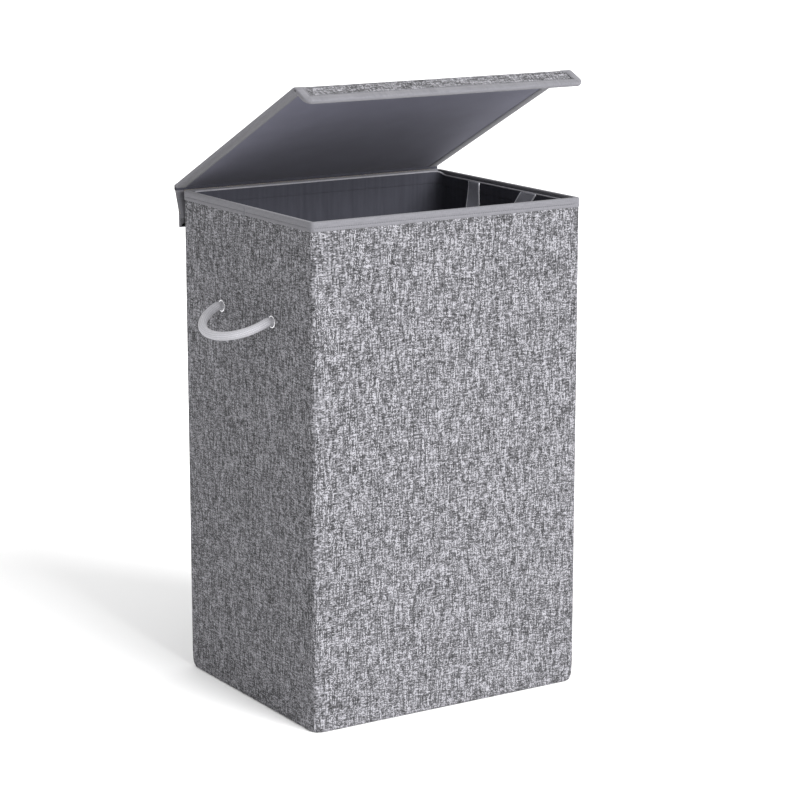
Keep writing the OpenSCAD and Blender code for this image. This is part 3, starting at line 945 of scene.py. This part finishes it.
flap = {
    "core": 0.0022,
    "inTape": 0.0004,
    "bend": 0.023,        # height of the lower edge of the sloping part above the foot
    "bulge": 0.0012,
    "round": 0.0015,
    "straight": 0.018,    # height of the upright part above the foot
}
flapLow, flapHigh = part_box("flap_cloth")


# outer face of the flap at height z
def flapOut(z):
    foot = flapLow.y + flap["core"] - 0.0012
    points = (
        (flapLow.z - 0.01, foot), (flapLow.z + flap["straight"], foot),
        (flapLow.z + flap["bend"], foot + 0.001),
        (flapHigh.z, flapHigh.y), (flapHigh.z + 0.01, flapHigh.y + 0.0036),
    )
    for (z0, y0), (z1, y1) in zip(points, points[1:]):
        if z <= z1:
            return y0 + (y1 - y0) * (z - z0) / (z1 - z0)
    return points[-1][1]


def makeFlap():
    low, high = flapLow.z, flapHigh.z
    for name, depth, look, slot, node in (
        ("flapCover", 0.0, "weave", "outer_cloth", "flap_cloth"),
        ("flapLining", flap["core"], "lining", "lining", None),
    ):
        bm = bmesh.new()
        bmesh.ops.create_grid(bm, x_segments=20, y_segments=16, size=1)
        for vert in bm.verts:
            z = low + (high - low) * (vert.co.y + 1) / 2
            vert.co = Vector((vert.co.x * flapHigh.x, flapOut(z) - depth, z))
        faceAway(bm, (0, 0 if depth == 0 else 1, low))
        flatUv(bm, (-1, 0, 0), (0, 0, 1))
        piece = finishMesh(name, bm, look, "back_wall")
        if node:
            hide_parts(node)
        thicken(piece, 0.0006)


def makeFlapTape():
    low, high = flapLow.z, flapHigh.z
    outer = flapHigh.x + tapeThick
    foot = low - tapeThick
    thick = flap["core"] + tapeThick + flap["inTape"]
    shape = tapeOutline(thick, lid["tapeWide"])
    bm = edgeTape(shape, outer, foot, high, flap["round"], (10, 4), (0, 0.003),
                  lambda spot, h: (spot.x, flapOut(spot.y) + h + tapeThick - thick, spot.y))
    middle = (low + high) / 2
    faceAway(bm, (0, flapOut(middle) - flap["core"] / 2, middle))
    tape = finishMesh("flapTape", bm, "tape", "back_wall")
    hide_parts("flap_binding")
    thicken(tape, tapeThick * 0.7)
    inward = lid["tapeWide"] - lid["stitchIn"]
    parts = (("Low", foot + inward, low + flap["straight"]), ("High", low + flap["bend"], high - 0.002))
    for side, name in ((-1, "left"), (1, "right")):
        for part, z0, z1 in parts:
            start, end = (Vector((side * (outer - inward), flapOut(z) + tapeThick, z)) for z in (z0, z1))
            count = max(2, int((end - start).length / rim["stitchEvery"]))
            makeStitches(name + "FlapStitches" + part, "back_wall", start, end - start, count)
    start = Vector((-outer + inward, flapOut(foot + inward) + tapeThick, foot + inward))
    count = int(2 * (outer - inward) / rim["stitchEvery"])
    makeStitches("flapFootStitches", "back_wall", start, (1, 0, 0), count)


# outer and inner cloth between the lid's rear edge and the flap, and the tape on its two ends
def makeHingeCloth():
    half = flapHigh.x
    top = lidPlace @ Vector((0, -lid["start"], lidUnder + lidStack - tapeThick))
    under = lidPlace @ Vector((0, -lid["start"], lidUnder + tapeThick))
    foot = Vector((0, flapHigh.y, flapHigh.z))
    footIn = Vector((0, flapHigh.y - flap["core"], flapHigh.z))
    whole = [(-half, half, 16)]
    ends = [(-lidHalf, -lidHalf + lid["tapeWide"], 3), (lidHalf - lid["tapeWide"], lidHalf, 3)]
    for name, a, b, bulge, lift, spans, look, slot in (
        ("hingeCloth", foot, top, flap["bulge"], 0, whole, "weave", "outer_cloth"),
        ("hingeLining", footIn, under, -0.0003, 0, whole, "liner", "lining"),
        ("hingeTape", foot, top, flap["bulge"], tapeThick, ends, "tape", "binding"),
    ):
        bm = bmesh.new()
        for x0, x1, columns in spans:
            made = bmesh.ops.create_grid(bm, x_segments=columns, y_segments=12, size=1)["verts"]
            for vert in made:
                t = (vert.co.y + 1) / 2
                spot = a.lerp(b, t)
                push = bulge * (1 - (2 * t - 1) ** 4) + lift
                vert.co = Vector((x0 + (x1 - x0) * (vert.co.x + 1) / 2, spot.y + push, spot.z))
        faceAway(bm, (0, 0, 0.65) if bulge > 0 else (0, 1, 0.65))
        flatUv(bm, (-1, 0, 0), (0, 0, 1))
        piece = finishMesh(name, bm, look)
        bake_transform(piece, "back_wall", "lid", start=(0, a.y, a.z + 0.0005), end=(0, a.y, b.z - 0.0005))
        thicken(piece, 0.0005)


makeFlap()
makeFlapTape()
makeHingeCloth()
print("flap made")


def makeLinings():
    inX = halfWide - wallThick
    low, high = 0.002, clothHigh.z - 0.0008
    profile = [(0, low + (high - low) * i / 12) for i in range(13)]
    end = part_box("left_rear_lining")[1].y
    # turned = 2 makes them face the inside
    pieces = makeSheets("Lining", "lining", "lining", (profile, profile),
                        (inX, halfDeep - wallThick), (inX, end), (12, 6, 10), inside, turned=2)
    for piece in pieces:
        thicken(piece, 0.0003)


makeLinings()
print("linings made")

eyelet = {
    "steps": 32,
    "flangeWide": 0.0023,
}
knot = {
    "tailRadius": 0.0054,
    "thick": 0.0038,
    "turnRadius": 0.0051,
    "strand": 0.0026,
}
# each eyelet's side, sign of x and part of the side wall
holes = [(side, sign, part) for side, sign in (("left", -1), ("right", 1)) for part in ("rear", "front")]


def makeEyelets():
    for side, sign, part in holes:
        node = side + "_" + part + "_eyelet"
        low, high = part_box(node)
        centre = (low + high) / 2
        flange = (high.y - low.y) / 2
        bore = flange - eyelet["flangeWide"]
        outer = high.x if sign > 0 else -low.x
        inner = low.x if sign > 0 else -high.x
        # (radius, how far out from the middle), round the rolled flange and the washer
        section = [
            (bore, outer - 0.0010), (bore + 0.0002, outer - 0.0003), (bore + 0.0009, outer),
            (flange - 0.0009, outer - 0.0001), (flange - 0.0001, outer - 0.0004), (flange, outer - 0.0008),
            (bore + 0.0005, outer - 0.0008), (bore + 0.0005, inner + 0.0008), (flange, inner + 0.0008),
            (flange, inner + 0.0002), (flange - 0.0004, inner), (bore, inner),
        ]
        bm = bmesh.new()
        verts = [bm.verts.new((sign * o, centre.y + r, centre.z)) for r, o in section]
        edges = [bm.edges.new(pair) for pair in zip(verts, verts[1:] + verts[:1])]
        bmesh.ops.spin(bm, geom=verts + edges, cent=(0, centre.y, centre.z), axis=(1, 0, 0),
                       angle=2 * math.pi, steps=eyelet["steps"], use_merge=True)
        bmesh.ops.recalc_face_normals(bm, faces=bm.faces[:])
        flatUv(bm, (0, 1, 0), (0, 0, 1))
        piece = finishMesh(side + part.title() + "Eyelet", bm, "nickel", side + "_" + part)
        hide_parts(node)


def makeKnots():
    for side, sign, part in holes:
        node = side + "_" + part + "_knot"
        body = side + "_" + part
        low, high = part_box(node)
        y = (low.y + high.y) / 2
        z = (low.z + high.z) / 2
        inner = low.x if sign > 0 else high.x
        outer = sign * (abs(joints[side + "_handle_swing"]["pos_m"][0]) - 0.0004)
        start = inner + sign * knot["thick"]
        points = [Vector((outer + (start - outer) * i / 6, y, z)) for i in range(7)]
        name = side + part.title()
        tail = makeTube(name + "Tail", points, knot["tailRadius"], "rope", body)
        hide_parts(node)
        # two turns of the rope drawn tight
        turns = []
        for i in range(73):
            a = 2 * math.pi * i / 36
            x = inner + sign * (knot["thick"] - 0.0005 + 0.0011 * math.cos(a / 2))
            radius = knot["turnRadius"]
            turns.append(Vector((x, y + radius * math.cos(a), z + radius * math.sin(a))))
        makeTube(name + "Knot", turns, knot["strand"], "rope", body, sides=10)


makeEyelets()
makeKnots()
print("eyelets made")


bag = {
    "round": 0.016,
    "wall": 0.0008,
    "sag": 0.0022,
    "fold": 0.0018,
    "fine": 0.0006,
    "hem": 0.016,
    "knotReach": 0.0112,
    "knotWide": 0.0108,
    "backLift": 0.0042,    # the hem stands this much higher along the back wall, over the tape
    "backIn": 0.0011,
    # size of the light bead that paints the highlight on the hem's top edge
    "edge": 0.0004,
    "webThick": 0.0014,
    "webWide": 0.025,
    "webBulge": 0.006,
}
bagLow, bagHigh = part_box("liner_bag")
eyeMiddle = sum(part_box("left_rear_eyelet"), Vector()) / 2


# gives a piece inside the walls its own copy of its mesh
def collapse(piece):
    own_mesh(piece)


# raises the bag's top edge behind, where the rim's tape turns in less
def liftBack(bm):
    for vert in bm.verts:
        share = min(1.0, max(0.0, (vert.co.y - bagHigh.y + 0.020) / 0.016))
        high = min(1.0, max(0.0, (vert.co.z - bagHigh.z + 0.05) / 0.05))
        share = share * share * (3 - 2 * share) * high
        vert.co.z += bag["backLift"] * share
        vert.co.y -= bag["backIn"] * share


# how far the bag's wall hangs in from its outline
def bagSag(x, y, z, along=None):
    t = (z - bagLow.z) / (bagHigh.z - bagLow.z)
    rise = math.sin(math.pi * min(max(t, 0), 1))
    depth = bag["sag"] * rise
    if along is not None:
        fade = min(1.0, (bagHigh.z - z) / 0.10) * min(1.0, (z - bagLow.z) / 0.02)
        folds = noise.noise(Vector((along * 26, z * 2.6, 1.7))) + 0.45
        fine = noise.noise(Vector((along * 75, z * 11, 5.1))) + 0.4
        depth += max(0.0, fade) * (bag["fold"] * max(folds, 0) + bag["fine"] * max(fine, 0))
    if abs(x) > bagHigh.x - 0.004:
        reach = math.hypot(abs(y) - eyeMiddle.y, z - eyeMiddle.z)
        bump = 1 - min(1.0, max(0.0, (reach - bag["knotWide"]) / 0.016))
        depth = max(depth, bag["knotReach"] * bump * bump * (3 - 2 * bump))
    return depth


def makeBag():
    x, y = bagHigh.x, bagHigh.y
    r = bag["round"]
    low, top = bagLow.z + 0.0010, bagHigh.z
    foot = ((-0.014, 0), (-0.008, 0.0006), (-0.0038, 0.0025), (-0.001, 0.0065), (0, 0.012))
    rows = 78
    rise = foot[-1][1]
    profile = [(out, low + up) for out, up in foot]
    profile += [(0, low + rise + (top - low - rise) * (i + 1) / rows) for i in range(rows)]
    corner = ("turn", r, 90, 6)
    half, long, deep = ("go", x - r, 26), ("go", 2 * (x - r), 52), ("go", 2 * (y - r), 48)
    moves = [half, corner, deep, corner, long, corner, deep, corner, half]
    bm = sweep(profile, (0, -y), 0, moves)
    faceAway(bm, (0, 0, 0.3))
    along = bm.verts.layers.float["along"]
    bm.normal_update()
    for vert in bm.verts:
        way = Vector((vert.normal.x, vert.normal.y, 0))
        if way.length > 0.2 and vert.co.z > low + 0.004:
            vert.co -= way.normalized() * bagSag(vert.co.x, vert.co.y, vert.co.z, vert[along])
    liftBack(bm)
    piece = finishMesh("linerBag", bm, "liner", "back_wall")
    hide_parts("liner_bag", "liner_tabs")
    thicken(piece, bag["wall"])
    collapse(piece)
    bm = bmesh.new()
    bmesh.ops.create_grid(bm, x_segments=40, y_segments=34, size=1)
    for vert in bm.verts:
        vert.co = Vector((vert.co.x * (x - 0.011), vert.co.y * (y - 0.011), low + 0.0003))
        vert.co.z += 0.0012 * max(0.0, noise.noise(vert.co * 30) + 0.2)
    flatUv(bm, (1, 0, 0), (0, 1, 0))
    floorPiece = finishMesh("linerFloor", bm, "liner", "back_wall")
    thicken(floorPiece, bag["wall"])
    collapse(floorPiece)
    # hem turned down inside the top, and a light bead along its top edge: a painted highlight where the edge
    # catches the light
    step = bag["wall"]
    hemFoot = top - bag["hem"]
    turned = [(-step - 0.0002, hemFoot), (-step - 0.0007, hemFoot + 0.0006)]
    turned += [(-step - 0.0007, hemFoot + 0.003 + 0.012 * i / 3) for i in range(4)]
    turned += [(-step, top - 0.0002), (0.0002, top + 0.0003), (0.0004, top - 0.0010)]
    e = bag["edge"]
    # the bead is a light strip that paints the highlight on the hem's top edge
    highlightBead = [(-step - 0.0006, top - 2 * e), (-step - 0.0006 - e, top - e), (-step - 0.0006, top + 0.0002)]
    highlightBead.append((-step + e, top + 0.0002))
    for name, profile, look in (("linerHem", turned, "liner"), ("linerEdgeHighlight", highlightBead, "edge")):
        bm = sweep(profile, (0, -y), 0, moves)
        faceAway(bm, (0, 0, 0.3))
        bmesh.ops.reverse_faces(bm, faces=bm.faces[:])
        for vert in bm.verts:
            depth = bagSag(vert.co.x, vert.co.y, vert.co.z)
            if abs(vert.co.x) > x - r and abs(vert.co.y) > y - r:
                continue
            if abs(vert.co.x) > x - 0.004:
                vert.co.x -= math.copysign(depth, vert.co.x)
            else:
                vert.co.y -= math.copysign(depth, vert.co.y)
        liftBack(bm)
        hem = finishMesh(name, bm, look, "back_wall")
        if look == "liner":
            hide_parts("liner_hem")
        thicken(hem, 0.0004)
        collapse(hem)


# points of a smooth curve through the given ones
def smoothPath(points, steps):
    made = []
    ends = [points[0]] + list(points) + [points[-1]]
    for i in range(1, len(ends) - 2):
        p0, p1, p2, p3 = (Vector(ends[i + k]) for k in (-1, 0, 1, 2))
        for k in range(steps):
            t = k / steps
            made.append(0.5 * (2 * p1 + (p2 - p0) * t + (2 * p0 - 5 * p1 + 4 * p2 - p3) * t * t
                               + (3 * p1 - p0 - 3 * p2 + p3) * t ** 3))
    made.append(Vector(points[-1]))
    return made


# the bag's two webbing handles, hanging as loops flat on its sides
def makeWebbingLoops():
    top = bagHigh.z - 0.0005
    hang = (
        (0.065, 0.012), (0.065, -0.030), (0.063, -0.058), (0.046, -0.078), (0.014, -0.0805), (-0.014, -0.062),
        (-0.034, -0.036), (-0.052, -0.012), (-0.070, 0.008), (-0.078, 0.018),
    )
    line = smoothPath([(y, top + up) for y, up in hang], 10)
    for side, sign in (("left", -1), ("right", 1)):
        bm = bmesh.new()
        uv = bm.loops.layers.uv.new("UVMap")
        rows = []
        run = 0.0
        for i, spot in enumerate(line):
            way = pathWay(line, i)
            if i:
                run += (spot - line[i - 1]).length
            square = Vector((-way.y, way.x))
            row = []
            for k in range(7):
                a = (k / 6 - 0.5) * bag["webWide"]
                p = spot + square * a
                lift = 0.0004 + bag["wall"] * 2 + 0.0005
                wave = 0.0010 * math.sin(run * 150 + 0.8) * (k / 6) ** 2 + 0.0006 * math.sin(run * 90)
                below = min(1.0, max(0.0, (top - p.y) / 0.05))
                bulge = bag["webBulge"] * below * max(0.0, square.x * a / bag["webWide"] + 0.5)
                depth = bagSag(bagHigh.x, p.x, p.y) + lift + max(0, wave) + bulge
                row.append((bm.verts.new((sign * (bagHigh.x - depth), p.x, p.y)), run, a))
            rows.append(row)
        for first, second in zip(rows, rows[1:]):
            for k in range(6):
                four = (first[k], first[k + 1], second[k + 1], second[k])
                face = bm.faces.new([f[0] for f in four])
                for loop, f in zip(face.loops, four):
                    loop[uv].uv = (f[1], f[2])
        bmesh.ops.bisect_plane(bm, geom=bm.verts[:] + bm.edges[:] + bm.faces[:], plane_co=(0, 0, top),
                               plane_no=(0, 0, 1), clear_outer=True)
        faceAway(bm, (sign * 1.0, 0, 0.6))
        piece = finishMesh(side + "Webbing", bm, "webbing", "back_wall")
        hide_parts("liner_" + side + "_handle")
        thicken(piece, bag["webThick"] * 0.9, offset=1.0)
        collapse(piece)


# floor cloth, the covered base board and its ribbon
def makeBase():
    for name, look, slot, nodes, lift, round in (
        ("floorCloth", "floor", "floor_cloth", ["floor_cloth"], 0, 0.0003),
        ("baseBoard", "lining", "lining", ["base_cover", "base_board"], 0.0001, 0.0016),
        ("baseRibbon", "webbing", "ribbon", ["base_tab"], 0, 0.0002),
    ):
        low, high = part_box(nodes[0])
        piece = makeBlock(name, low + Vector((0, 0, lift)), high, look, "back_wall", round)
        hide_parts(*nodes)
        collapse(piece)


makeBag()
makeWebbingLoops()
makeBase()
print("liner made")


studio = {
    "floor": 0.96,
    "ambient": 0.95,
    "sun": 5.8,
    "sunAzimuth": 15,
    "sunElevation": 26,
    "softness": 38,
}


def makeStage(v):
    bm = bmesh.new()
    bmesh.ops.create_grid(bm, x_segments=1, y_segments=1, size=40)
    mesh = bpy.data.meshes.new("floor")
    bm.to_mesh(mesh)
    bm.free()
    floor = bpy.data.objects.new("floor", mesh)
    floor.location.z = -0.0002
    scene.collection.objects.link(floor)
    s = Shader("paleFloor", roughness=0.9)
    s.color((v["floor"], v["floor"], v["floor"], 1))
    mesh.materials.append(s.material)


def makeLights(v):
    world = bpy.data.worlds.new("studio")
    scene.world = world
    world.use_nodes = True
    background = world.node_tree.nodes["Background"]
    background.inputs["Color"].default_value = (1, 1, 1, 1)
    background.inputs["Strength"].default_value = v["ambient"]
    data = bpy.data.lights.new("key", "SUN")
    data.energy = v["sun"]
    data.angle = math.radians(v["softness"])
    aim(data, v["sunAzimuth"], v["sunElevation"], 4)


makeStage(studio)
makeLights(studio)
scene.view_settings.view_transform = "Standard"


for nodeName, node in frame["nodes"].items():
    if nodeName.endswith("_board"):
        look = "board"
    elif nodeName.endswith("_strip"):
        look = "hook"
    else:
        look = "tape" if nodeName.endswith("_binding") else "lining"
    node.data.materials.clear()
    node.data.materials.append(looks[look])
